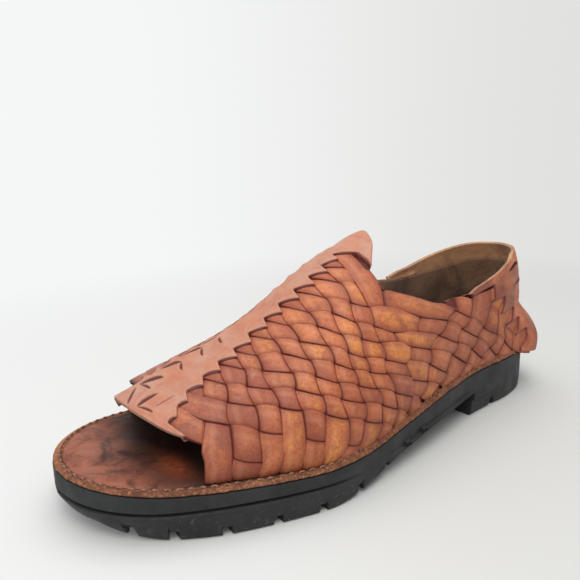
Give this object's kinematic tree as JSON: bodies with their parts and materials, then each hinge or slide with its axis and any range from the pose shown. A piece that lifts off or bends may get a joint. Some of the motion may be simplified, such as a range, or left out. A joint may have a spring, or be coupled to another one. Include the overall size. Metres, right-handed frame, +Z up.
{
  "type": "huarache sandal",
  "caption": "Woven leather slip-on huarache sandal with open toe, smooth centre band, wrapped heel piece and lugged rubber sole, left shoe, empty.",
  "frame": {"origin": "on the floor under the centre of the heel, at the heel's flat contact face", "axes": "+X towards the toe, +Y towards the outer side of the foot, +Z up"},
  "size_m": [0.303, 0.1104, 0.1054],
  "materials": {
    "rubber": "matte charcoal moulded rubber, slightly worn",
    "rim_leather": "stitched dark brown leather edge, rubbed lighter at the toe",
    "footbed_leather": "smooth worn footbed leather, dusty at the toe",
    "woven_leather": "semi-matte tan woven strips with darker cut edges",
    "band_leather": "semi-matte pale tan smooth leather",
    "heel_leather": "semi-matte tan leather outside, napped brown inside"
  },
  "bodies": {
    "root": {"outsole": "rubber", "leather_rim": "rim_leather", "insole": "footbed_leather", "upper": "woven_leather", "vamp_band": "band_leather", "heel_counter": "heel_leather"}
  },
  "joints": []
}
